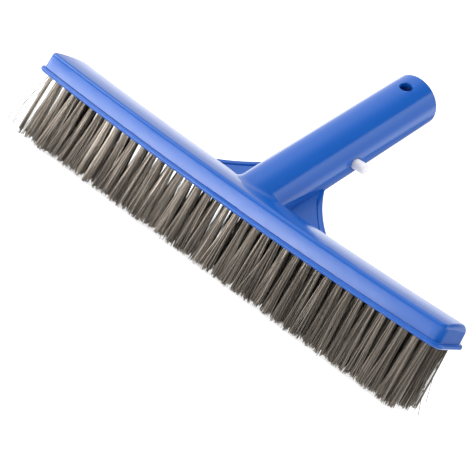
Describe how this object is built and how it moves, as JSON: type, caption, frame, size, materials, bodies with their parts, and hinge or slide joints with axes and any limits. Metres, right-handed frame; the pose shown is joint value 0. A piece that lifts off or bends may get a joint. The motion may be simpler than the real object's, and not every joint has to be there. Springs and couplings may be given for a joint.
{
  "type": "pool wall brush",
  "caption": "Bowed plastic brush block with rows of steel wire tufts and a slanted hollow plug-in handle with side webs and a spring-loaded locking button.",
  "frame": {"origin": "middle of the plane the bristle tips stand on, under the middle of the block", "axes": "+X along the block, +Z from the bristle tips up to the block, +Y to the side the handle leans to"},
  "size_m": [0.254, 0.1414, 0.1207],
  "materials": {
    "blue_plastic": "glossy moulded polypropylene",
    "white_plastic": "smooth moulded nylon",
    "spring_steel": "bright rolled strip",
    "bristle_wire": "fine drawn stainless wire"
  },
  "bodies": {
    "brush": {"moulded_body": "blue_plastic", "leaf_spring": "spring_steel", "bristle_row_1": "bristle_wire", "bristle_row_2": "bristle_wire", "bristle_row_3": "bristle_wire", "bristle_row_4": "bristle_wire", "bristle_row_5": "bristle_wire"},
    "button": {"lock_button": "white_plastic"}
  },
  "joints": [
    {"name": "button_press", "type": "slide", "parent": "brush", "child": "button", "axis": [-1, 0, 0], "range_m": [0, 0.0057], "stiffness_N_per_m": 2000, "springref_m": -0.002, "deforming": ["leaf_spring"]}
  ]
}
